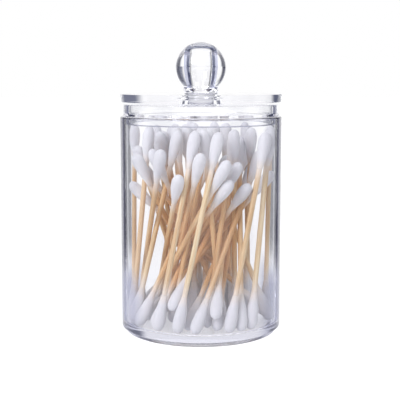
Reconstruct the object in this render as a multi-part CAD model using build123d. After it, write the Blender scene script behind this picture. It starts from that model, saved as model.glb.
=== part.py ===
from build123d import *
import math
import os
import random
from itertools import pairwise

import numpy as np

# A clear moulded jar with a lift-off lid, full of bamboo cotton swabs that lean as they were
# dropped in. Millimetres, +Z up, the origin in the middle of the foot ring, the front towards -Y.

# Swabs
swab_length = 85.5
stick_radius = 1.1
head_radius = 2.35
head_length = 14.6
tip_radius = 1.9
swab_count = 58
swab_flats = 8
# Height along a cotton head as a share of its length, and radius there as a share of the widest.
head_profile = [(0.0, 0.42), (0.07, 0.80), (0.24, 1.0), (0.50, 0.93)]
# What a head's slimmer half needs beside it, as a share of its widest radius.
slim_share = 0.8

# Jar
jar_radius = 35.0
jar_wall = 2.0
floor_top = 4.5
floor_round = 1.2
rim_round = 0.8
foot_height = 2.2
foot_slope = 0.9
foot_inset = 1.7
foot_round = 0.8
foot_width = 3.4
recess_depth = 1.2

# Lid
plate_overhang = 0.2
plate_thickness = 4.3
plate_edge = 0.5
plate_chamfer = 0.9
neck_height = 5.1
neck_inset = 1.4
neck_flare = 0.5
neck_flare_height = 1.2
skirt_clearance = 0.35
skirt_wall = 2.2
skirt_depth = 3.5
skirt_round = 0.5

# Knob, with the hole that its core pin leaves from below
ball_radius = 10.9
stem_radius = 7.45
stem_height = 3.25
stem_fillet = 0.6
core_foot_radius = 6.2
core_mouth_radius = 5.5
core_radius = 4.2
core_throat = 2.5
core_rise = 4.8
core_round = 1.2

# Room between things that lie loose, and between the tallest swab and the lid's skirt
loose_gap = 0.3
swab_headroom = 0.6

inside_radius = jar_radius - jar_wall
jar_height = floor_top + swab_length + swab_headroom + skirt_depth
plate_bottom = jar_height + neck_height
plate_top = plate_bottom + plate_thickness
ball_centre = plate_top + stem_height + math.sqrt(ball_radius**2 - stem_radius**2)

# A swab's tip centres: how far from the jar's axis and from each other, and how high at the foot.
tip_reach = inside_radius - head_radius - loose_gap
span = swab_length - 2 * tip_radius
tip_height = floor_top + loose_gap + tip_radius
# Each swab as straight stretches between its two tip centres: from, to and radius of each.
head_span = head_length - tip_radius
stretches = np.array([
    (0, head_span / 2, head_radius),
    (head_span / 2, head_span, slim_share * head_radius),
    (head_span, span - head_span, stick_radius),
    (span - head_span, span - head_span / 2, slim_share * head_radius),
    (span - head_span / 2, span, head_radius),
])

# The swabs that show from the front, as they lean: where the foot stands, where the head is, and
# how high the foot is caught above the floor. A place is a bearing from the front in degrees,
# counted to the right, and a share of the radius that a swab's tip can reach. Those that come
# first give way least.
front_swabs = [
    (-20, 1.00, 17, 0.86, 0),
    (-30, 1.00, -5, 0.74, 0),
    (-82, 1.00, 84, 1.00, 0),
    (-142, 1.00, 42, 1.00, 0),
    (-138, 0.95, -16, 1.00, 0),
    (-26, 1.00, 120, 1.00, 9.0),
    (10, 1.00, 143, 1.00, 6.2),
    (-11, 1.00, 126, 1.00, 0),
    (-1, 1.00, 106, 0.95, 0),
    (-42, 1.00, 146, 0.75, 0),
    (-54, 1.00, 160, 0.50, 0),
    (-130, 0.95, 18, 1.00, 0),
    (-130, 0.60, 2, 0.92, 0),
    (-95, 0.85, 24, 0.86, 0),
    (-128, 0.75, 33, 0.90, 0),
    (-126, 1.00, -31, 1.00, 0),
    (88, 1.00, -86, 1.00, 0),
    (175, 0.60, -62, 0.95, 0),
    (150, 0.35, -52, 0.90, 0),
    (20, 1.00, 58, 0.95, 0),
    (10, 1.00, 135, 0.80, 0),
    (42, 1.00, 72, 1.00, 0),
    (31, 1.00, 118, 0.70, 0),
    (-66, 1.00, -50, 0.42, 0),
    (112, 0.90, -98, 0.96, 0),
    (95, 1.00, 84, 0.98, 0),
    (75, 0.98, 178, 0.80, 0),
    (-90, 1.00, -97, 1.00, 0),
    (-80, 1.00, -62, 0.80, 0),
    (100, 0.40, 36, 0.92, 0),
    (0, 0.55, 44, 0.70, 0),
    (20, 0.35, 2, 0.55, 0),
    (-58, 0.62, 36, 0.60, 0),
]
# The rest fill the back, within two bearings, each turned and spread about its foot by chance.
back_bearings = (125, 240)
back_twist_angle = 25
back_spread_angle = 35
back_reach = 0.35
seed = 7
settle_steps = 400
settled = 0.05
tiny = 1e-6


def rounded(section, r, z, radius):
    """The half section with its corner nearest to radius r and height z rounded."""
    corner = section.vertices().sort_by_distance((r, z, 0))[0]
    return fillet(corner, radius)


def turned(section):
    """A half section, drawn with the radius along X and the height along Y, turned about Z."""
    return revolve(Plane.XZ * section, Axis.Z)


def jar():
    """One moulding: wall, thick floor, and a stepped foot with a shallow recess under it."""
    foot_radius = jar_radius - foot_inset
    section = Polygon(
        (0, recess_depth),
        (foot_radius - foot_width, recess_depth),
        (foot_radius - foot_width + recess_depth, 0),
        (foot_radius, 0),
        (foot_radius, foot_height - foot_slope),
        (jar_radius, foot_height),
        (jar_radius, jar_height),
        (inside_radius, jar_height),
        (inside_radius, floor_top),
        (0, floor_top),
        align=None,
    )
    section = rounded(section, foot_radius, 0, foot_round)
    section = rounded(section, jar_radius, jar_height, rim_round)
    section = rounded(section, inside_radius, jar_height, rim_round)
    section = rounded(section, inside_radius, floor_top, floor_round)
    return turned(section)


def lid():
    """One moulding: plate, neck that sits on the rim, skirt that fits inside it, cored ball knob."""
    plate_radius = jar_radius + plate_overhang
    neck_radius = jar_radius - neck_inset
    skirt_outer = inside_radius - skirt_clearance
    skirt_inner = skirt_outer - skirt_wall
    skirt_bottom = jar_height - skirt_depth
    cap = Polygon(
        (0, plate_bottom),
        (skirt_inner, plate_bottom),
        (skirt_inner, skirt_bottom),
        (skirt_outer, skirt_bottom),
        (skirt_outer, jar_height),
        (neck_radius + neck_flare, jar_height),
        (neck_radius, jar_height + neck_flare_height),
        (neck_radius, plate_bottom),
        (plate_radius - plate_edge - plate_chamfer, plate_bottom),
        (plate_radius - plate_edge, plate_bottom + plate_chamfer),
        (plate_radius, plate_top),
        (stem_radius, plate_top),
        (stem_radius, ball_centre),
        (0, ball_centre),
        align=None,
    )
    cap = rounded(cap, skirt_outer, skirt_bottom, skirt_round)
    cap = rounded(cap, stem_radius, plate_top, stem_fillet)
    ball = Pos(0, ball_centre) * Circle(ball_radius)
    core = Polygon(
        (0, plate_bottom),
        (core_foot_radius, plate_bottom),
        (core_mouth_radius, plate_top),
        (core_radius, plate_top + core_throat),
        (core_radius, ball_centre + core_rise),
        (0, ball_centre + core_rise),
        align=None,
    )
    core = rounded(core, core_radius, ball_centre + core_rise, core_round)
    right_half = Pos(plate_radius, plate_top) * Rectangle(2 * plate_radius, 2 * plate_top)
    return turned(((cap + ball) & right_half) - core)


def swab():
    """A stick with a cotton head at each end, standing on its tip, turned with flats to stay light."""
    low = [(share * head_length, width * head_radius) for share, width in head_profile]
    low.append((head_length, stick_radius))
    high = [(swab_length - height, radius) for height, radius in reversed(low)]
    turns = [2 * math.pi * flat / swab_flats for flat in range(swab_flats)]
    rings = [
        [Vector(radius * math.cos(turn), radius * math.sin(turn), height) for turn in turns]
        for height, radius in low + high
    ]
    faces = [Face(Wire.make_polygon(rings[0])), Face(Wire.make_polygon(rings[-1]))]
    for lower, upper in pairwise(rings):
        for flat in range(swab_flats):
            corners = [lower[flat - 1], lower[flat], upper[flat], upper[flat - 1]]
            faces.append(Face(Wire.make_polygon(corners)))
    return Solid(Shell(faces))


def dropped_in():
    """Each swab as it would like to lie: foot x and y, head x and y, and the foot's height."""
    chance = random.Random(seed)
    places = list(front_swabs)
    while len(places) < swab_count:
        bearing = chance.uniform(*back_bearings)
        share = math.sqrt(chance.random())
        head_bearing = bearing + chance.gauss(back_twist_angle, back_spread_angle)
        head_share = min(max(share + chance.uniform(-back_reach, back_reach), back_reach), 1)
        places.append((bearing, share, head_bearing, head_share, 0))
    places = np.array(places[:swab_count], dtype=float)
    bearings = np.radians(places[:, 0:4:2])
    reach = places[:, 1:4:2] * tip_reach
    x = reach * np.sin(bearings)
    y = -reach * np.cos(bearings)
    return np.column_stack([x[:, 0], y[:, 0], x[:, 1], y[:, 1], places[:, 4]])


def axes(places):
    """The lower tip centre and the direction of each swab."""
    lean = places[:, 2:4] - places[:, :2]
    rise = np.sqrt(np.maximum(span**2 - (lean**2).sum(axis=1), 1))
    feet = np.column_stack([places[:, :2], tip_height + places[:, 4]])
    return feet, np.column_stack([lean, rise]) / span


def nearest(start_a, along_a, start_b, along_b):
    """Shares along pairs of straight stretches at which they come nearest to each other."""
    apart = start_a - start_b
    aa = (along_a**2).sum(axis=1)
    bb = (along_b**2).sum(axis=1)
    ab = (along_a * along_b).sum(axis=1)
    a_apart = (along_a * apart).sum(axis=1)
    b_apart = (along_b * apart).sum(axis=1)
    skew = np.maximum(aa * bb - ab**2, tiny)
    share_a = np.clip((ab * b_apart - a_apart * bb) / skew, 0, 1)
    share_b = np.clip((ab * share_a + b_apart) / bb, 0, 1)
    share_a = np.clip((ab * share_b - a_apart) / aa, 0, 1)
    return share_a, share_b


def settle(places):
    """Push swabs that overlap apart and keep them inside the wall, until all of them are clear.

    Of two that meet, the one that comes later in the rows gives way more.
    """
    count = len(places)
    first, second = np.triu_indices(count, 1)
    kinds = len(stretches)
    first = np.repeat(first, kinds * kinds)
    second = np.repeat(second, kinds * kinds)
    part_a = np.tile(np.repeat(np.arange(kinds), kinds), len(first) // kinds**2)
    part_b = np.tile(np.arange(kinds), len(first) // kinds)
    start_a, end_a, radius_a = stretches[part_a].T
    start_b, end_b, radius_b = stretches[part_b].T
    room = radius_a + radius_b + loose_gap
    far = room + (end_a - start_a + end_b - start_b) / 2
    for _ in range(settle_steps):
        feet, ways = axes(places)
        middle_a = feet[first] + ways[first] * ((start_a + end_a) / 2)[:, None]
        middle_b = feet[second] + ways[second] * ((start_b + end_b) / 2)[:, None]
        near = np.flatnonzero(((middle_a - middle_b) ** 2).sum(axis=1) < far**2)
        a, b = first[near], second[near]
        base_a = feet[a] + ways[a] * start_a[near, None]
        base_b = feet[b] + ways[b] * start_b[near, None]
        along_a = ways[a] * (end_a - start_a)[near, None]
        along_b = ways[b] * (end_b - start_b)[near, None]
        share_a, share_b = nearest(base_a, along_a, base_b, along_b)
        apart = base_a + along_a * share_a[:, None] - base_b - along_b * share_b[:, None]
        depth = room[near] - np.sqrt((apart**2).sum(axis=1))
        if depth.max() < settled:
            break
        hit = depth > 0
        a, b, apart = a[hit], b[hit], apart[hit, :2]
        push = apart / np.maximum(np.hypot(*apart.T), tiny)[:, None] * depth[hit, None]
        part_of_a = ((a + 1) / (a + b + 2))[:, None]
        lever_a = ((start_a[near] + share_a * (end_a - start_a)[near]) / span)[hit, None]
        lever_b = ((start_b[near] + share_b * (end_b - start_b)[near]) / span)[hit, None]
        moves = np.zeros_like(places)
        push_a, push_b = push * part_of_a, push * (part_of_a - 1)
        np.add.at(moves[:, :4], a, np.hstack([push_a * (1 - lever_a), push_a * lever_a]))
        np.add.at(moves[:, :4], b, np.hstack([push_b * (1 - lever_b), push_b * lever_b]))
        places = places + np.clip(moves, -head_radius, head_radius)
        for end in (slice(0, 2), slice(2, 4)):
            out = np.hypot(*places[:, end].T)
            places[:, end] *= np.minimum(1, tip_reach / np.maximum(out, tiny))[:, None]
    return places


def swabs():
    """Every swab where it came to rest."""
    feet, ways = axes(settle(dropped_in()))
    piece = swab()
    return [
        Plane(origin=tuple(foot - way * tip_radius), x_dir=(0, way[2], -way[1]), z_dir=tuple(way))
        * piece
        for foot, way in zip(feet, ways)
    ]


os.makedirs("parts", exist_ok=True)
export_step(jar(), "parts/jar.step")
export_step(lid(), "parts/lid.step")
for number, piece in enumerate(swabs(), start=1):
    export_step(piece, f"parts/swab_{number:02d}.step")
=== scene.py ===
import math

import bmesh
import bpy
import numpy as np
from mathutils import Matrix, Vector


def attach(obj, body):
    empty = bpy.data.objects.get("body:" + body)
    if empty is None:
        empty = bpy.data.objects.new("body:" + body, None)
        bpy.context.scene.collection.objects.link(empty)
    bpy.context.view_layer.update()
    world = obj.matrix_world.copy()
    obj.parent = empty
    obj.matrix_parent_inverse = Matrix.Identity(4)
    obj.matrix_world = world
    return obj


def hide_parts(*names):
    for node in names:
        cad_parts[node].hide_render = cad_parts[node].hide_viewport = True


# A clear moulded jar with a lift-off lid, full of bamboo cotton swabs. The jar and the lid are
# turned again here with fine curves, and every swab lies on the axis of its solid. The scene is
# in metres, and the sizes and heights named below are in millimetres.

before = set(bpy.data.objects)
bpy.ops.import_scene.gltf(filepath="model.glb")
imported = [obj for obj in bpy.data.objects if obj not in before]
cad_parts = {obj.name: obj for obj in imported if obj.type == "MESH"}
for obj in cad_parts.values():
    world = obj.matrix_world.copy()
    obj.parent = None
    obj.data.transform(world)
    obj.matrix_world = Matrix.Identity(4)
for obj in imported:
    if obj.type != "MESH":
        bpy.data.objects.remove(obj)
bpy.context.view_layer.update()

mm = 0.001

# Jar and lid, as in the part's source, with finer edges and a knob's hole of its own
wall_radius, inner_radius = 35.0, 33.0
floor_top, jar_top = 4.5, 94.1
foot_radius, foot_height, foot_slope = 33.3, 2.2, 0.9
recess_radius, recess_depth, ring_radius = 29.9, 1.2, 31.1
plate_bottom, plate_top, plate_radius = 99.2, 103.5, 35.2
plate_draft, plate_chamfer = 0.5, 0.9
skirt_inner, skirt_outer, skirt_bottom = 30.45, 32.65, 90.6
neck_radius, neck_shoulder, shoulder_height = 33.6, 34.1, 1.2
stem_radius, stem_height, ball_radius = 7.45, 3.25, 10.9
ball_height = plate_top + stem_height + math.sqrt(ball_radius**2 - stem_radius**2)
core_top = ball_height + 7.2
core_end_radius, core_ball_radius, core_waist_radius = 4.8, 4.9, 3.9
core_plate_radius, core_mouth_radius = 5.7, 6.8
core_waist_height = plate_top + 2.8
# the rim ends this much below the lid's shoulder, so that two clear surfaces don't share a place
seat_gap = 0.02
turned_sides = 256

# Swabs
swab_length, stick_radius = 85.5, 1.1
# the fluff stands a quarter of a millimetre off the solid, and its film reaches further along
head_length, head_radius = 15.8, 2.58
# the stick starts this far from the tip, and the cotton's last ring lies just under its skin
hidden_end = 6.5
inner_ring_radius = 0.9 * stick_radius
# Along a cotton head from its tip: share of its length, and radius as a share of its widest
head_shape = [
    (0.000, 0.00), (0.006, 0.20), (0.018, 0.36), (0.038, 0.52), (0.068, 0.68), (0.105, 0.81),
    (0.150, 0.905), (0.205, 0.965), (0.270, 0.995), (0.340, 1.00), (0.410, 0.985),
    (0.480, 0.95), (0.550, 0.90), (0.620, 0.830), (0.690, 0.755), (0.760, 0.68),
    (0.820, 0.61), (0.880, 0.545), (0.930, 0.495), (0.970, 0.46), (1.000, 0.432),
]

# Clear plastic: how it bends light, and the share of facing away past which it mirrors all light
# that comes from within
plastic_ior = 1.5
critical = 1 - math.sqrt(1 - 1 / plastic_ior**2)
# Ray depths up to which the inner skin gets its painted dark reflection, and past which light is let
# out
dark_until, let_out_after = 3.5, 4.5
# Heights over which the painted shade up the foot's sides and the paler painted reflection near the
# foot, the knob's finish and painted reflection, and the painted reflection at the hole's end set in
painted_foot_heights = (34.0, 22.0)
knob_heights = (100.0, 104.0)
core_end_heights = (119.0, 120.5)


# Node trees


def add_node(tree, kind, inputs=None, **settings):
    """A new node with its settings, and inputs by name or number: an output to link, or a value."""
    node = tree.nodes.new(kind)
    for name, value in settings.items():
        setattr(node, name, value)
    for name, value in (inputs or {}).items():
        socket = node.inputs[name]
        if isinstance(value, bpy.types.NodeSocket):
            tree.links.new(value, socket)
        else:
            socket.default_value = value
    return node


def maths(tree, operation, *values, **settings):
    """The result of a Math node."""
    node = add_node(tree, "ShaderNodeMath", dict(enumerate(values)), operation=operation, **settings)
    return node.outputs[0]


def product(tree, first, *others):
    """Several values multiplied together."""
    for other in others:
        first = maths(tree, "MULTIPLY", first, other)
    return first


def ramp(tree, value, low, high, to_low=0.0, to_high=1.0):
    """A smooth step of a value from one range to another."""
    node = add_node(
        tree, "ShaderNodeMapRange",
        {"Value": value, "From Min": low, "From Max": high, "To Min": to_low, "To Max": to_high},
        interpolation_type="SMOOTHSTEP",
    )
    return node.outputs["Result"]


def ramp_mm(tree, value, low, high, to_low=0.0, to_high=1.0):
    """A smooth step of a length in metres, between two lengths in millimetres."""
    return ramp(tree, value, low * mm, high * mm, to_low, to_high)


def band(tree, value, start, full, fade, gone):
    """1 where a value lies within a band, with a smooth step at either end."""
    return product(tree, ramp(tree, value, start, full), ramp(tree, value, gone, fade))


def mix_colours(tree, share, first, second, blend="MIX"):
    """The result of a colour mix: a Mix node has its colours at inputs 6 and 7 and output 2."""
    node = add_node(
        tree, "ShaderNodeMix", {0: share, 6: first, 7: second}, data_type="RGBA", blend_type=blend
    )
    return node.outputs[2]


def mix_shaders(tree, share, first, second):
    """The second shader over the first, by a share."""
    return add_node(tree, "ShaderNodeMixShader", {0: share, 1: first, 2: second}).outputs[0]


def stored(tree, name, output="Fac"):
    """What a mesh keeps at its points under a name."""
    return add_node(tree, "ShaderNodeAttribute", attribute_name=name).outputs[output]


def part_of(tree, vector, axis):
    """One axis of a vector."""
    return add_node(tree, "ShaderNodeSeparateXYZ", {0: vector}).outputs[axis]


def length_of(tree, vector):
    """The length of a vector."""
    return add_node(tree, "ShaderNodeVectorMath", {0: vector}, operation="LENGTH").outputs["Value"]


def uneven(tree, height, strength, distance):
    """The normal of a surface that a height makes uneven."""
    node = add_node(
        tree, "ShaderNodeBump", {"Height": height, "Strength": strength, "Distance": distance}
    )
    return node.outputs[0]


def new_material(name):
    """A material with its nodes and its surface output."""
    material = bpy.data.materials.new(name)
    material.use_nodes = True
    tree = material.node_tree
    tree.nodes.clear()
    return material, tree, tree.nodes.new("ShaderNodeOutputMaterial")


def new_group(name, kind, inputs, outputs):
    """A node group with named sockets, with what it is given and what it puts out."""
    tree = bpy.data.node_groups.new(name, kind)
    for label, socket in inputs.items():
        tree.interface.new_socket(label, in_out="INPUT", socket_type=socket)
    for label, socket in outputs.items():
        tree.interface.new_socket(label, in_out="OUTPUT", socket_type=socket)
    return tree, tree.nodes.new("NodeGroupInput").outputs, tree.nodes.new("NodeGroupOutput").inputs


# Shapes


def rounded_line(corners):
    """The points of a half section whose corners are (radius, height, rounding), in millimetres.

    Each corner becomes an arc with a short straight run beside it, so that flats stay flat.
    """
    points = []
    for i, (r, z, rounding) in enumerate(corners):
        here = np.array((r, z))
        if i in (0, len(corners) - 1) or not rounding:
            points.append(here)
            continue
        back = np.array(corners[i - 1][:2]) - here
        ahead = np.array(corners[i + 1][:2]) - here
        back_length, ahead_length = np.hypot(*back), np.hypot(*ahead)
        back, ahead = back / back_length, ahead / ahead_length
        half = math.acos(float(np.clip(back @ ahead, -1, 1))) / 2
        # two neighbouring arcs never take more than the straight between them
        cut = min(rounding / math.tan(half), 0.49 * back_length, 0.49 * ahead_length)
        rounding = cut * math.tan(half)
        middle = back + ahead
        centre = here + middle / np.hypot(*middle) * rounding / math.sin(half)
        start, end = here + back * cut - centre, here + ahead * cut - centre
        first = math.atan2(start[1], start[0])
        turn = (math.atan2(end[1], end[0]) - first + math.pi) % (2 * math.pi) - math.pi
        # a larger arc gets more steps a radian
        steps = max(3, math.ceil(abs(turn) * (3 + 3 * math.sqrt(rounding))))
        straight = min(0.12, 0.3 * rounding)
        if back_length - cut > 3 * straight:
            points.append(here + back * (cut + straight))
        for step in range(steps + 1):
            angle = first + turn * step / steps
            points.append(centre + rounding * np.array((math.cos(angle), math.sin(angle))))
        if ahead_length - cut > 3 * straight:
            points.append(here + ahead * (cut + straight))
    return points


def add_ring(shape, radius, height, sides):
    """A level ring of points about the upright axis, or a single point where it has no radius."""
    count = sides if radius > 1e-6 else 1
    angles = [2 * math.pi * side / sides for side in range(count)]
    return [
        shape.verts.new((radius * mm * math.cos(angle), radius * mm * math.sin(angle), height * mm))
        for angle in angles
    ]


def join_rings(shape, rings):
    """Faces from each ring to the next."""
    for lower, upper in zip(rings, rings[1:]):
        sides = max(len(lower), len(upper))
        for side in range(sides):
            after = (side + 1) % sides
            corners = [lower[side % len(lower)], lower[after % len(lower)],
                       upper[after % len(upper)], upper[side % len(upper)]]
            corners = list(dict.fromkeys(corners))
            if len(corners) > 2:
                shape.faces.new(corners)


def mesh_object(name, shape):
    """An object at the origin with a smooth mesh."""
    mesh = bpy.data.meshes.new(name)
    shape.to_mesh(mesh)
    shape.free()
    mesh.shade_smooth()
    return place_mesh(name, mesh)


def place_mesh(name, mesh):
    """A mesh as a new object at the origin."""
    made = bpy.data.objects.new(name, mesh)
    bpy.context.scene.collection.objects.link(made)
    return made


def closed_object(name, shape):
    """A closed shape as an object, with its faces pointing outwards."""
    bmesh.ops.recalc_face_normals(shape, faces=shape.faces)
    return mesh_object(name, shape)


def turned(name, line):
    """A closed shape turned about the jar's axis from a line that starts and ends on it."""
    shape = bmesh.new()
    join_rings(shape, [add_ring(shape, r, z, turned_sides) for r, z in line])
    return closed_object(name, shape)


def mark_points(made, name, rule):
    """Give a moulding's points a value each, from their radius and height in millimetres."""
    points = np.empty(len(made.data.vertices) * 3, np.float32)
    made.data.vertices.foreach_get("co", points)
    points = points.reshape(-1, 3) / mm
    values = rule(np.hypot(points[:, 0], points[:, 1]), points[:, 2]).astype(np.float32)
    made.data.attributes.new(name, "FLOAT", "POINT").data.foreach_set("value", values)


def jar_shape():
    """The jar's wall, thick floor, and stepped foot with the shallow recess under it."""
    rim_height = jar_top - seat_gap
    corners = [
        (0, recess_depth, 0), (recess_radius, recess_depth, 0.25), (ring_radius, 0, 0.25),
        (foot_radius, 0, 0.8), (foot_radius, foot_height - foot_slope, 0.2),
        (wall_radius, foot_height, 0.2), (wall_radius, rim_height, 0.8),
        (inner_radius, rim_height, 0.8), (inner_radius, floor_top, 1.2), (0, floor_top, 0),
    ]
    return turned("jar_moulding", rounded_line(corners))


def lid_shape():
    """The lid's cored ball knob, plate, neck and skirt."""
    corners = [
        # the knob's hole, from its end in the ball down to the plate's underside
        (0, core_top, 0), (core_end_radius, core_top, 2.0), (core_ball_radius, ball_height, 4.0),
        (core_waist_radius, core_waist_height, 1.5), (core_plate_radius, plate_top, 0.8),
        (core_mouth_radius, plate_bottom, 0.3),
        # the skirt, from inside to outside, and the neck on its shoulder
        (skirt_inner, plate_bottom, 0.5), (skirt_inner, skirt_bottom, 0.25),
        (skirt_outer, skirt_bottom, 0.5), (skirt_outer, jar_top, 0.15),
        (neck_shoulder, jar_top, 0.2), (neck_radius, jar_top + shoulder_height, 0.5),
        (neck_radius, plate_bottom, 0.08),
        # the plate's slightly drawn-in edge, its top and the stem
        (plate_radius - plate_draft - plate_chamfer, plate_bottom, 0.08),
        (plate_radius - plate_draft, plate_bottom + plate_chamfer, 0.3),
        (plate_radius, plate_top, 0.08), (stem_radius, plate_top, 0.6),
        (stem_radius, plate_top + stem_height, 0),
    ]
    line = rounded_line(corners)
    # the ball, from the stem's top to its own
    below = math.asin(math.sqrt(ball_radius**2 - stem_radius**2) / ball_radius)
    steps = 72
    for step in range(1, steps + 1):
        angle = -below + (math.pi / 2 + below) * step / steps
        line.append((ball_radius * math.cos(angle), ball_height + ball_radius * math.sin(angle)))
    return turned("lid_moulding", line)


def swab_axes():
    """Each swab's name, the lower end of its solid's axis, and the way that the axis points."""
    rows = []
    for name in sorted(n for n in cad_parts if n.startswith("swab_")):
        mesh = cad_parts[name].data
        points = np.empty(len(mesh.vertices) * 3, np.float32)
        mesh.vertices.foreach_get("co", points)
        points = points.reshape(-1, 3).astype(float)
        middle = (points.min(axis=0) + points.max(axis=0)) / 2
        along = np.linalg.svd(points - points.mean(axis=0), full_matrices=False)[2][0]
        along *= np.sign(along[2])
        reach = (points - middle) @ along
        # the flats' corners are the only points, so the middle of each end ring is its axis
        low = points[reach < reach.min() + 0.2 * mm].mean(axis=0)
        high = points[reach > reach.max() - 0.2 * mm].mean(axis=0)
        rows.append((name, low, (high - low) / np.linalg.norm(high - low)))
    return rows


def rod():
    """A bamboo stick standing on the origin, without the ends that the cotton hides."""
    shape = bmesh.new()
    heights = np.linspace(hidden_end, swab_length - hidden_end, 19)
    rings = [add_ring(shape, stick_radius, height, 14) for height in heights]
    join_rings(shape, rings)
    shape.faces.new(rings[0][::-1])
    shape.faces.new(rings[-1])
    return closed_object("rod", shape)


def cotton_pair():
    """The two cotton heads of a swab that stands on the origin."""
    shape = bmesh.new()
    sides = 24
    for tip, step in ((0.0, 1), (swab_length, -1)):
        rings = [
            add_ring(shape, width * head_radius, tip + step * share * head_length, sides)
            for share, width in head_shape
        ]
        # the last ring turns in to the stick, and ends in a point inside it
        inner = tip + step * head_length
        rings.append(add_ring(shape, inner_ring_radius, inner, sides))
        rings.append(add_ring(shape, 0, inner - step, sides))
        join_rings(shape, rings)
    return closed_object("cotton_pair", shape)


def keep_place(made):
    """Store each point's own place on the piece, so that grain and winding follow it when laid."""
    mesh = made.data
    places = np.empty(len(mesh.vertices) * 3, np.float32)
    mesh.vertices.foreach_get("co", places)
    mesh.attributes.new("own_place", "FLOAT_VECTOR", "POINT").data.foreach_set("vector", places)


def swab_points(rows):
    """A mesh of one point per swab, with its direction, a tone and a number of its own."""
    mesh = bpy.data.meshes.new("swab_points")
    mesh.from_pydata([tuple(low) for _, low, _ in rows], [], [])
    ways = np.array([way for _, _, way in rows], np.float32)
    tones = np.random.default_rng(11).random(len(rows)).astype(np.float32)
    numbers = np.arange(len(rows), dtype=np.float32)
    mesh.attributes.new("along", "FLOAT_VECTOR", "POINT").data.foreach_set("vector", ways.ravel())
    mesh.attributes.new("swab_tone", "FLOAT", "POINT").data.foreach_set("value", tones)
    mesh.attributes.new("swab_number", "FLOAT", "POINT").data.foreach_set("value", numbers)
    return place_mesh("swab_points", mesh)


def lay_tree():
    """A tree that lays a piece along every swab, turned at random about it, and makes it lumpy."""
    tree, given, result = new_group(
        "lay_along_swabs", "GeometryNodeTree",
        {"Points": "NodeSocketGeometry", "Piece": "NodeSocketObject",
         "Finish": "NodeSocketMaterial", "Lump size": "NodeSocketFloat",
         "Lump depth": "NodeSocketFloat", "Seed": "NodeSocketInt"},
        {"Laid": "NodeSocketGeometry"},
    )
    along = add_node(
        tree, "GeometryNodeInputNamedAttribute", {"Name": "along"}, data_type="FLOAT_VECTOR"
    )
    upright = add_node(
        tree, "FunctionNodeAlignRotationToVector", {"Vector": along.outputs[0]}, axis="Z"
    )
    # inputs 2 and 3 and output 1 are the random value's least, most and result as a plain number
    spin = add_node(
        tree, "FunctionNodeRandomValue", {2: 0.0, 3: 2 * math.pi, "Seed": given["Seed"]},
        data_type="FLOAT",
    )
    about = add_node(tree, "ShaderNodeCombineXYZ", {"Z": spin.outputs[1]})
    turn = add_node(tree, "FunctionNodeEulerToRotation", {0: about.outputs[0]})
    turned_on = add_node(
        tree, "FunctionNodeRotateRotation",
        {"Rotation": upright.outputs[0], "Rotate By": turn.outputs[0]}, rotation_space="LOCAL",
    )
    piece = add_node(tree, "GeometryNodeObjectInfo", {"Object": given["Piece"], "As Instance": True})
    laid = add_node(
        tree, "GeometryNodeInstanceOnPoints",
        {"Points": given["Points"], "Instance": piece.outputs["Geometry"],
         "Rotation": turned_on.outputs[0]},
    )
    real = add_node(tree, "GeometryNodeRealizeInstances", {"Geometry": laid.outputs[0]})
    lumps = add_node(
        tree, "ShaderNodeTexNoise",
        {"Scale": maths(tree, "DIVIDE", 1.0, given["Lump size"]), "Detail": 2.0, "Roughness": 0.5},
    )
    centred = maths(tree, "SUBTRACT", lumps.outputs["Fac"], 0.5)
    normal = tree.nodes.new("GeometryNodeInputNormal")
    shift = add_node(
        tree, "ShaderNodeVectorMath",
        {0: normal.outputs[0], "Scale": product(tree, centred, given["Lump depth"])},
        operation="SCALE",
    )
    lumpy = add_node(
        tree, "GeometryNodeSetPosition", {"Geometry": real.outputs[0], "Offset": shift.outputs[0]}
    )
    dressed = add_node(
        tree, "GeometryNodeSetMaterial",
        {"Geometry": lumpy.outputs[0], "Material": given["Finish"]},
    )
    tree.links.new(dressed.outputs[0], result["Laid"])
    return tree


def run_tree(name, carrier, tree, **inputs):
    """The plain mesh that a node tree makes from its carrier, as a new object."""
    bearer = carrier.copy()
    bpy.context.scene.collection.objects.link(bearer)
    modifier = bearer.modifiers.new(name, "NODES")
    modifier.node_group = tree
    ids = {item.name: item.identifier for item in tree.interface.items_tree if item.in_out == "INPUT"}
    for label, value in inputs.items():
        modifier[ids[label.replace("_", " ")]] = value
    bpy.context.view_layer.update()
    graph = bpy.context.evaluated_depsgraph_get()
    mesh = bpy.data.meshes.new_from_object(bearer.evaluated_get(graph), depsgraph=graph)
    bpy.data.objects.remove(bearer)
    mesh.name = name
    mesh.shade_smooth()
    return place_mesh(name, mesh)


# Finishes


def moulded_skin():
    """What both mouldings share: faint waves, and painted shade at marked edges and up the foot's
    sides.
    """
    tree, given, result = new_group(
        "moulded_skin", "ShaderNodeTree",
        {"Place": "NodeSocketVector", "Waves per metre": "NodeSocketFloat",
         "Sideways": "NodeSocketFloat", "Painted foot shade": "NodeSocketColor", "Edge": "NodeSocketFloat"},
        {"Tint": "NodeSocketColor", "Normal": "NodeSocketVector"},
    )
    # the plastic's own clear colour, and the colour of the painted shade along marked edges
    clear, painted_edge_colour = (0.985, 0.985, 0.995, 1), (0.30, 0.31, 0.43, 1)
    # painted shade up the foot's sides, where they turn from view, then along marked edges
    low = ramp_mm(tree, part_of(tree, given["Place"], "Z"), *painted_foot_heights)
    clear_and_painted_shade = mix_colours(tree, product(tree, low, given["Sideways"]), clear, given["Painted foot shade"])
    clear_and_painted_shade = mix_colours(tree, given["Edge"], clear_and_painted_shade, painted_edge_colour)
    waves = add_node(
        tree, "ShaderNodeTexNoise",
        {"Vector": given["Place"], "Scale": given["Waves per metre"], "Detail": 1.5, "Roughness": 0.4},
    )
    tree.links.new(clear_and_painted_shade, result["Tint"])
    tree.links.new(uneven(tree, waves.outputs["Fac"], 0.05, 1.0 * mm), result["Normal"])
    return tree


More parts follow.
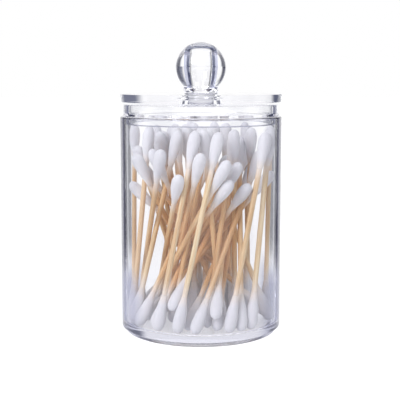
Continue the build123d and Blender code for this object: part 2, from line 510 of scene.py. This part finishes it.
def swab_fibres():
    """What stick and cotton share: fine fibres laid along or round a swab, and the way to its end."""
    tree, given, result = new_group(
        "swab_fibres", "ShaderNodeTree",
        {"Own place": "NodeSocketVector", "Swab number": "NodeSocketFloat",
         "Turn": "NodeSocketVector", "Fineness": "NodeSocketVector",
         "Detail": "NodeSocketFloat", "Roughness": "NodeSocketFloat"},
        {"Fibres": "NodeSocketFloat", "From end": "NodeSocketFloat"},
    )
    number = given["Swab number"]
    apart = add_node(tree, "ShaderNodeCombineXYZ", {"X": number, "Y": number, "Z": number})
    laid = add_node(
        tree, "ShaderNodeMapping",
        {"Vector": given["Own place"], "Location": apart.outputs[0],
         "Rotation": given["Turn"], "Scale": given["Fineness"]},
    )
    fibres = add_node(
        tree, "ShaderNodeTexNoise",
        {"Vector": laid.outputs[0], "Scale": 1.0,
         "Detail": given["Detail"], "Roughness": given["Roughness"]},
    )
    half = swab_length * mm / 2
    height = part_of(tree, given["Own place"], "Z")
    from_middle = maths(tree, "ABSOLUTE", maths(tree, "SUBTRACT", height, half))
    tree.links.new(fibres.outputs["Fac"], result["Fibres"])
    tree.links.new(maths(tree, "SUBTRACT", half, from_middle), result["From end"])
    return tree


def place_fibres(tree, group, turn, fineness, detail, roughness):
    """The fibres that stick and cotton share, placed in a material with its own values."""
    return add_node(
        tree, "ShaderNodeGroup",
        {"Own place": stored(tree, "own_place", "Vector"), "Swab number": stored(tree, "swab_number"),
         "Turn": turn, "Fineness": fineness, "Detail": detail, "Roughness": roughness},
        node_tree=group,
    ).outputs


def painted_dark_mirror(tree, height, colour):
    """A painted dark reflection for what the inner skin mirrors from within: dark, but less so near
    the foot and in the knob.
    """
    # the painted reflection's colour near the foot, in the knob and at the hole's end
    at_foot, in_knob, at_core_end = (0.45, 0.46, 0.60, 1), (0.62, 0.64, 0.78, 1), (0.30, 0.32, 0.42, 1)
    knob = ramp_mm(tree, height, *knob_heights)
    dark = mix_colours(tree, ramp_mm(tree, height, *painted_foot_heights), colour, at_foot)
    dark = mix_colours(tree, knob, dark, in_knob)
    dark = mix_colours(tree, ramp_mm(tree, height, *core_end_heights), dark, at_core_end)
    mirror = add_node(
        tree, "ShaderNodeBsdfGlossy", {"Color": dark, "Roughness": product(tree, knob, 0.14)}
    )
    return mirror.outputs[0]


def clear_plastic(name, group, depth, inner_band, painted_mirror_colour, painted_foot_shade,
                  edge_band, edge_heights, edge_strength):
    """Clear moulded plastic with a faint unevenness and a lilac cast in its depth.

    Light from lamps goes straight through, so that it reaches the cotton inside. Where the inner
    skin mirrors from within, at the sides, it gets a painted dark reflection: inner_band says over
    which share of facing away this comes and goes. Over edge_band, what the outer skin mirrors
    beside its edge is darkened by a painted dark reflection of edge_strength, which sets in over
    edge_heights. The foot's sides get painted shade of the colour given for the foot.
    """
    material, tree, output = new_material(name)
    place = tree.nodes.new("ShaderNodeTexCoord").outputs["Object"]
    height = part_of(tree, place, "Z")
    knob = ramp_mm(tree, height, *knob_heights)
    facing = add_node(tree, "ShaderNodeLayerWeight", {"Blend": 0.5}).outputs["Facing"]
    side = tree.nodes.new("ShaderNodeNewGeometry").outputs
    upright = ramp(tree, maths(tree, "ABSOLUTE", part_of(tree, side["Normal"], "Z")), 0.8, 0.4)
    path = tree.nodes.new("ShaderNodeLightPath").outputs
    # the mouldings' skin, with painted shade up the foot's sides and along marked edges
    moulded = add_node(
        tree, "ShaderNodeGroup",
        {"Place": place, "Waves per metre": 55.0, "Painted foot shade": painted_foot_shade,
         "Sideways": product(tree, upright, ramp(tree, facing, 0.28, 0.52)),
         "Edge": stored(tree, "painted_edge_shade")},
        node_tree=group,
    ).outputs
    # light that has been mirrored about inside for long is let out, so that no corner turns black
    late = maths(tree, "GREATER_THAN", path["Ray Depth"], let_out_after)
    bending = maths(tree, "MULTIPLY_ADD", late, 1.0 - plastic_ior, plastic_ior)
    plastic = add_node(
        tree, "ShaderNodeBsdfPrincipled",
        {"Base Color": moulded["Tint"], "Roughness": 0.012, "IOR": bending,
         "Transmission Weight": 1.0, "Normal": moulded["Normal"]},
    )

    # the painted dark reflection: the knob's hole mirrors at every angle beyond the first, the rest
    # only within the band
    start, full, fade, gone = inner_band
    within = product(
        tree, stored(tree, "inner_skin"), side["Backfacing"], maths(tree, "MAXIMUM", upright, knob),
        ramp(tree, facing, start, full), maths(tree, "MAXIMUM", ramp(tree, facing, gone, fade), knob),
        maths(tree, "LESS_THAN", path["Ray Depth"], dark_until),
    )
    mirrored = painted_dark_mirror(tree, height, painted_mirror_colour)
    surface = mix_shaders(tree, within, plastic.outputs[0], mirrored)

    # a painted dark reflection beside the outer skin's edges, on its upright outer faces
    outside = maths(tree, "SUBTRACT", upright, side["Backfacing"], use_clamp=True)
    line = product(
        tree, band(tree, facing, *edge_band), outside,
        ramp_mm(tree, height, *edge_heights, 0.0, edge_strength),
    )
    painted_dark_reflection = add_node(tree, "ShaderNodeBsdfGlossy", {"Color": (0.03, 0.03, 0.07, 1), "Roughness": 0.05})
    surface = mix_shaders(tree, line, surface, painted_dark_reflection.outputs[0])

    through = add_node(tree, "ShaderNodeBsdfTransparent", {"Color": (0.97, 0.97, 0.985, 1)})
    for kind in ("Is Diffuse Ray", "Is Shadow Ray"):
        surface = mix_shaders(tree, path[kind], surface, through.outputs[0])
    lilac = add_node(
        tree, "ShaderNodeVolumeAbsorption", {"Color": (0.70, 0.70, 0.90, 1), "Density": depth}
    )
    tree.links.new(surface, output.inputs["Surface"])
    tree.links.new(lilac.outputs[0], output.inputs["Volume"])
    return material


def bamboo(group):
    """Bamboo sticks: fine grain along each, a tone of its own, painted shade deep in the pile, and
    cotton's film near its ends.
    """
    material, tree, output = new_material("bamboo_stick")
    laid = place_fibres(tree, group, (0, 0, 0), (2600, 2600, 60), 3.0, 0.6)
    grain = laid["Fibres"]
    pale, golden, brown = (0.88, 0.75, 0.50, 1), (0.69, 0.44, 0.21, 1), (0.64, 0.37, 0.18, 1)
    toned = mix_colours(tree, ramp(tree, grain, 0.32, 0.70), pale, golden)
    toned = mix_colours(tree, ramp(tree, stored(tree, "swab_tone"), 0.0, 1.0, 0.0, 0.6), toned, brown)
    # painted shade: sticks deep in the pile are made browner, standing in for the light that only
    # comes by way of other sticks
    place = tree.nodes.new("ShaderNodeTexCoord").outputs["Object"]
    level = add_node(tree, "ShaderNodeVectorMath", {0: place, 1: (1, 1, 0)}, operation="MULTIPLY")
    painted_pile_shade = ramp_mm(tree, length_of(tree, level.outputs[0]), 27, 12)
    toned = mix_colours(tree, painted_pile_shade, toned, (0.95, 0.75, 0.56, 1), "MULTIPLY")
    # the film ends raggedly along the grain
    ragged = maths(tree, "ADD", laid["From end"], product(tree, grain, 6 * mm))
    film = ramp_mm(tree, ragged, 17.5, 26.5, 0.85, 0.0)
    toned = mix_colours(tree, film, toned, (0.86, 0.77, 0.70, 1))
    wood = add_node(
        tree, "ShaderNodeBsdfPrincipled",
        {"Base Color": toned, "Roughness": 0.55, "Normal": uneven(tree, grain, 0.35, 0.15 * mm),
         "Specular IOR Level": 0.35},
    )
    tree.links.new(wood.outputs[0], output.inputs["Surface"])
    return material


def cotton(group):
    """Wound cotton: fibres that run round the head, thinning to a film over the stick."""
    material, tree, output = new_material("wound_cotton")
    wound = place_fibres(tree, group, (0.5, 0.35, 0.0), (900, 900, 4200), 4.0, 0.65)
    white, film_tint = (0.765, 0.76, 0.795, 1), (0.83, 0.75, 0.69, 1)
    colour = mix_colours(tree, ramp_mm(tree, wound["From end"], 10.5, 15.8), white, film_tint)
    fluff = add_node(
        tree, "ShaderNodeBsdfPrincipled",
        {"Base Color": colour, "Roughness": 0.95, "Specular IOR Level": 0.1,
         "Subsurface Weight": 0.25, "Subsurface Radius": (1.0, 0.95, 0.95),
         "Subsurface Scale": 1.2 * mm, "Sheen Weight": 0.25, "Sheen Roughness": 0.6,
         "Normal": uneven(tree, wound["Fibres"], 0.5, 0.2 * mm)},
    )
    tree.links.new(fluff.outputs[0], output.inputs["Surface"])
    return material


# The jar, the lid and the swabs

skin = moulded_skin()
jar = jar_shape()
# where the inner skin gets the painted dark reflection
mark_points(jar, "inner_skin", lambda r, z: (r < wall_radius - 0.6) & (z > floor_top + 0.1))
# painted shade along the rim's outer edge, the foot and the top of the thick floor
mark_points(jar, "painted_edge_shade", lambda r, z: (
    0.5 * ((z > jar_top - 0.7) & (r > wall_radius - 0.6))
    + 0.25 * ((z < foot_height + 0.3) & (r > foot_radius - 1))
    + 0.2 * ((z > floor_top - 0.2) & (z < floor_top + 0.2) & (r < inner_radius - 1))
))
jar.data.materials.append(clear_plastic(
    "clear_jar", skin, depth=5.0,
    inner_band=(critical - 0.002, critical + 0.006, 0.36, 0.46), painted_mirror_colour=(0.13, 0.13, 0.21, 1),
    painted_foot_shade=(0.34, 0.35, 0.48, 1),
    edge_band=(0.59, 0.64, 0.70, 0.79), edge_heights=(24, 36), edge_strength=0.62,
))
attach(jar, "jar")
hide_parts("jar")

lid = lid_shape()
# where the inner skin gets the painted dark reflection: the knob's hole, fainter at its end, and the
# hollow inside the skirt
mark_points(lid, "inner_skin", lambda r, z: (
    ((r < 6.3) & (z > plate_top + 3)) * np.where((r > 3.5) | (z < ball_height), 1.0, 0.55)
    + ((r < skirt_inner + 0.6) & (r > 20) & (z < plate_bottom + 0.1))
))
# painted shade along the skirt's lower edge, the plate's lower edge and the hole in the plate
mark_points(lid, "painted_edge_shade", lambda r, z: (
    1.0 * ((z < skirt_bottom + 0.55) & (r > skirt_outer - 0.45))
    + 0.2 * ((r > neck_radius) & (abs(z - plate_bottom) < 0.3))
    + 0.6 * ((r < 7.1) & (z < plate_top))
))
lid.data.materials.append(clear_plastic(
    "clear_lid", skin, depth=1.5,
    inner_band=(critical + 0.010, critical + 0.022, 0.300, 0.325), painted_mirror_colour=(0.18, 0.19, 0.28, 1),
    painted_foot_shade=(0.98, 0.98, 0.99, 1),
    edge_band=(0.42, 0.52, 0.66, 0.84), edge_heights=(107.5, 109), edge_strength=0.5,
))
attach(lid, "lid")
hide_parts("lid")

rows = swab_axes()
points = swab_points(rows)
lay = lay_tree()
fibres = swab_fibres()
stick_piece, cotton_piece = rod(), cotton_pair()
keep_place(stick_piece)
keep_place(cotton_piece)
sticks = run_tree(
    "bamboo_sticks", points, lay, Piece=stick_piece, Finish=bamboo(fibres),
    Lump_size=9.0 * mm, Lump_depth=0.12 * mm, Seed=3,
)
heads = run_tree(
    "cotton_heads", points, lay, Piece=cotton_piece, Finish=cotton(fibres),
    Lump_size=2.8 * mm, Lump_depth=0.3 * mm, Seed=3,
)
for piece in (points, stick_piece, cotton_piece):
    bpy.data.objects.remove(piece)
swab_names = [name for name, _, _ in rows]
for piece, slot in ((sticks, "bamboo"), (heads, "cotton")):
    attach(piece, "jar")
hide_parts(*swab_names)
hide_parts(*swab_names)


# Floor, background, lamp and camera, placed in metres


def dark_sides(tree, place, turn):
    """How dark the studio is in a direction: dark from about 40 to 80 degrees off front and back."""
    bearing = maths(tree, "ARCTAN2", part_of(tree, place, "X"), part_of(tree, place, "Y"))
    bearing = maths(tree, "ABSOLUTE", maths(tree, "ADD", bearing, math.radians(turn)))
    # the bearing off the back is folded over at the sides, so that front and back are alike
    folded = maths(tree, "ABSOLUTE", maths(tree, "SUBTRACT", bearing, math.pi / 2))
    folded = maths(tree, "SUBTRACT", math.pi / 2, folded)
    return band(tree, folded, *(math.radians(angle) for angle in (36, 46, 74, 82)))


def seen(tree):
    """1 for rays that the camera, a mirror or clear plastic sends, and 1 for all but the camera's."""
    path = tree.nodes.new("ShaderNodeLightPath").outputs
    clear = maths(tree, "MAXIMUM", path["Is Glossy Ray"], path["Is Transmission Ray"])
    by_sight = maths(tree, "MAXIMUM", path["Is Camera Ray"], clear)
    return by_sight, maths(tree, "SUBTRACT", 1.0, path["Is Camera Ray"])


def studio_floor():
    """A plain pale floor that keeps the object's shadow, and that plastic mirrors with dark sides."""
    shape = bmesh.new()
    bmesh.ops.create_circle(shape, cap_ends=True, segments=96, radius=4.0)
    floor = mesh_object("floor", shape)
    material, tree, output = new_material("pale_floor")
    place = tree.nodes.new("ShaderNodeTexCoord").outputs["Object"]
    by_sight, indirect = seen(tree)
    far = ramp(tree, length_of(tree, place), 0.16, 0.30)
    dark = product(tree, dark_sides(tree, place, 0), far, indirect)
    lit = add_node(tree, "ShaderNodeBsdfDiffuse", {"Color": (0.30, 0.30, 0.30, 1)})
    glow = add_node(
        tree, "ShaderNodeEmission",
        {"Color": mix_colours(tree, dark, (1, 1, 1, 1), (0.06, 0.07, 0.12, 1)), "Strength": 0.86},
    )
    white = add_node(tree, "ShaderNodeAddShader", {0: lit.outputs[0], 1: glow.outputs[0]})
    plain = add_node(tree, "ShaderNodeBsdfDiffuse", {"Color": (0.8, 0.8, 0.8, 1)})
    both = mix_shaders(tree, by_sight, plain.outputs[0], white.outputs[0])
    tree.links.new(both, output.inputs["Surface"])
    floor.data.materials.append(material)


def studio_world():
    """White behind the object, with dark sides that the plastic shows, and an even light."""
    world = bpy.data.worlds.new("studio")
    bpy.context.scene.world = world
    world.use_nodes = True
    tree = world.node_tree
    tree.nodes.clear()
    way = tree.nodes.new("ShaderNodeTexCoord").outputs["Generated"]
    by_sight, indirect = seen(tree)
    above = ramp(tree, part_of(tree, way, "Z"), 0.5, 0.8, 0.0, 0.25)
    dark = product(tree, maths(tree, "MAXIMUM", dark_sides(tree, way, 7), above), indirect)
    rightwards = ramp(tree, part_of(tree, way, "X"), -0.05, 0.05)
    left_side, right_side = (0.085, 0.095, 0.155, 1), (0.17, 0.18, 0.25, 1)
    side = mix_colours(tree, rightwards, left_side, right_side)
    picture = add_node(
        tree, "ShaderNodeBackground",
        {"Color": mix_colours(tree, dark, (1, 1, 1, 1), side), "Strength": 1.0},
    )
    light = add_node(tree, "ShaderNodeBackground", {"Color": (0.97, 0.98, 1.0, 1), "Strength": 0.74})
    both = mix_shaders(tree, by_sight, light.outputs[0], picture.outputs[0])
    tree.links.new(both, tree.nodes.new("ShaderNodeOutputWorld").inputs["Surface"])


def soft_lamp(name, place, size, watts):
    """A soft white lamp that faces the middle of the jar."""
    data = bpy.data.lights.new(name, "AREA")
    data.size, data.energy = size, watts
    made = bpy.data.objects.new(name, data)
    made.location = place
    made.rotation_euler = (Vector((0, 0, 0.06)) - Vector(place)).to_track_quat("-Z", "Y").to_euler()
    bpy.context.scene.collection.objects.link(made)


def photo_camera():
    """The photograph's camera: in front, a little above the lid, and looking down."""
    looks_down = math.radians(7.627)
    data = bpy.data.cameras.new("camera")
    data.lens, data.sensor_width = 85.48, 36.0
    data.clip_start, data.clip_end = 0.01, 50.0
    made = bpy.data.objects.new("camera", data)
    made.location = (-0.00035, -0.4141, 0.11245)
    made.rotation_euler = (math.pi / 2 - looks_down, 0, 0)
    bpy.context.scene.collection.objects.link(made)
    bpy.context.scene.camera = made


studio_floor()
studio_world()
soft_lamp("key", (-0.60, -0.80, 0.70), 0.60, 7.6)
photo_camera()

scene = bpy.context.scene
scene.view_settings.view_transform = "Standard"
scene.cycles.max_bounces = 24
scene.cycles.transmission_bounces = 20
scene.cycles.transparent_max_bounces = 24
